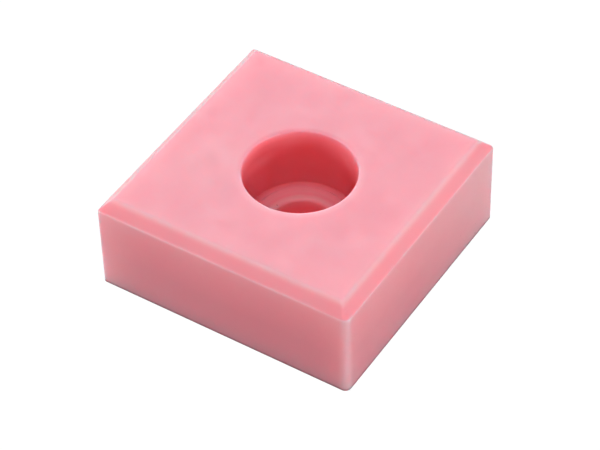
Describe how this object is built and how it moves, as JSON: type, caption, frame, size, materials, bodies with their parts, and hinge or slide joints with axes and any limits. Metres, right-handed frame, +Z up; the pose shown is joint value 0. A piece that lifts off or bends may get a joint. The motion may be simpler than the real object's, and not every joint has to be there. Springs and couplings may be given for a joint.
{
  "type": "resin casting mould",
  "caption": "Soft square resin casting mould with a bevelled top, a round well and a lift-out ring insert.",
  "frame": {"origin": "centre of the block's flat base, which rests on the bench", "axes": "+Z up, along the casting well towards its mouth; +X along the block's longer side; +Y along its shorter side"},
  "size_m": [0.086, 0.084, 0.0335],
  "materials": {
    "block_silicone": "satin",
    "insert_silicone": "satin"
  },
  "bodies": {
    "mould": {"mould_block": "block_silicone"},
    "insert": {"floor_insert": "insert_silicone"}
  },
  "joints": [
    {"name": "insert_lift", "type": "slide", "parent": "mould", "child": "insert", "axis": [0, 0, 1], "range_m": [0, 0.045]}
  ]
}
